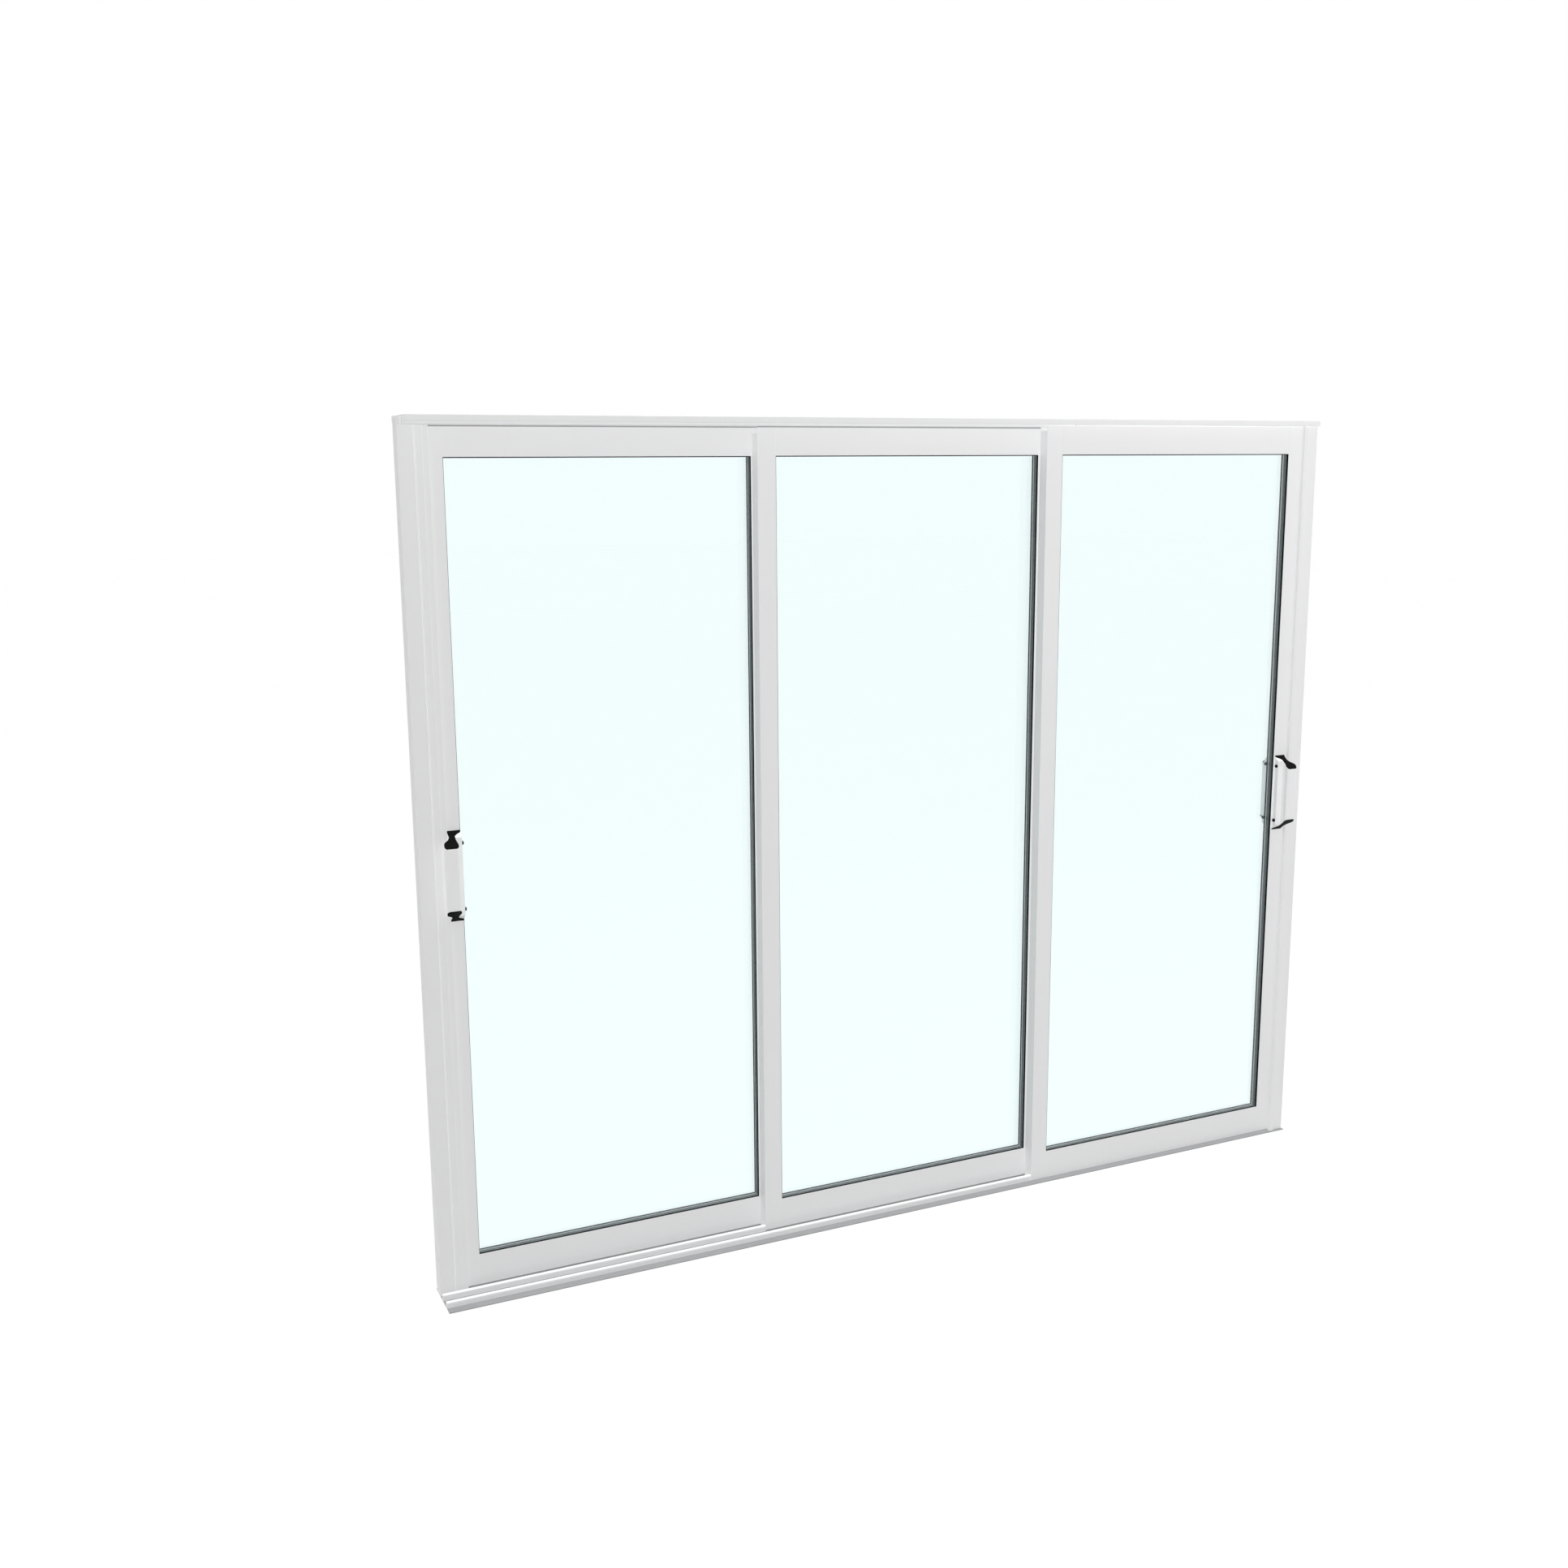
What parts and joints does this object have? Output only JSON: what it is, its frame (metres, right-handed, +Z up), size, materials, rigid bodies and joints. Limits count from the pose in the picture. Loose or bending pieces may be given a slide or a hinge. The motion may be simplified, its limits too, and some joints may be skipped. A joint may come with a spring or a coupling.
{
  "type": "sliding patio door",
  "caption": "Three-panel sliding glass door: white aluminium frame with stepped lanes, double glazing, a fixed middle panel and sliding outer panels with pull handles.",
  "frame": {"origin": "middle of the sill plate's underside", "axes": "+X to the right seen from outside, +Y from outside to inside, +Z up"},
  "size_m": [2.55, 0.196, 2.1],
  "materials": {
    "white_coating": "satin white powder coating",
    "handle_coating": "satin white powder coating",
    "grey_coating": "satin grey",
    "glass": "clear float glass",
    "spacer": "dark warm-edge spacer",
    "rubber": "black extruded rubber",
    "brush": "grey brush pile",
    "black_plastic": "black moulded plastic",
    "nylon": "plain nylon"
  },
  "bodies": {
    "frame": {"sill_plate": "grey_coating", "sill_tracks": "white_coating", "head_frame": "white_coating", "head_guides": "white_coating", "left_jamb": "white_coating", "left_jamb_cover": "white_coating", "right_jamb": "white_coating", "right_jamb_strip": "white_coating", "left_jamb_seal": "rubber", "right_jamb_seal": "rubber", "lap_brushes": "brush", "middle_sash_packers": "nylon", "middle_sash_left_stile": "white_coating", "middle_sash_right_stile": "white_coating", "middle_sash_bottom_rail": "white_coating", "middle_sash_top_rail": "white_coating", "middle_sash_glass": "glass", "middle_sash_spacer": "spacer", "middle_sash_gaskets": "rubber"},
    "left_sash": {"left_sash_left_stile": "white_coating", "left_sash_right_stile": "white_coating", "left_sash_bottom_rail": "white_coating", "left_sash_top_rail": "white_coating", "left_sash_glass": "glass", "left_sash_spacer": "spacer", "left_sash_gaskets": "rubber", "left_sash_rollers": "nylon", "left_sash_top_guides": "nylon", "left_outside_handle": "handle_coating", "left_outside_handle_trim": "black_plastic", "left_inside_handle": "handle_coating", "left_inside_handle_trim": "black_plastic"},
    "right_sash": {"right_sash_left_stile": "white_coating", "right_sash_right_stile": "white_coating", "right_sash_bottom_rail": "white_coating", "right_sash_top_rail": "white_coating", "right_sash_glass": "glass", "right_sash_spacer": "spacer", "right_sash_gaskets": "rubber", "right_sash_rollers": "nylon", "right_sash_top_guides": "nylon", "right_outside_handle": "handle_coating", "right_outside_handle_trim": "black_plastic", "right_inside_handle": "handle_coating", "right_inside_handle_trim": "black_plastic"}
  },
  "joints": [
    {"name": "left_panel_slide", "type": "slide", "parent": "frame", "child": "left_sash", "axis": [1, 0, 0], "range_m": [0, 0.72]},
    {"name": "right_panel_slide", "type": "slide", "parent": "frame", "child": "right_sash", "axis": [1, 0, 0], "range_m": [-0.72, 0]}
  ]
}
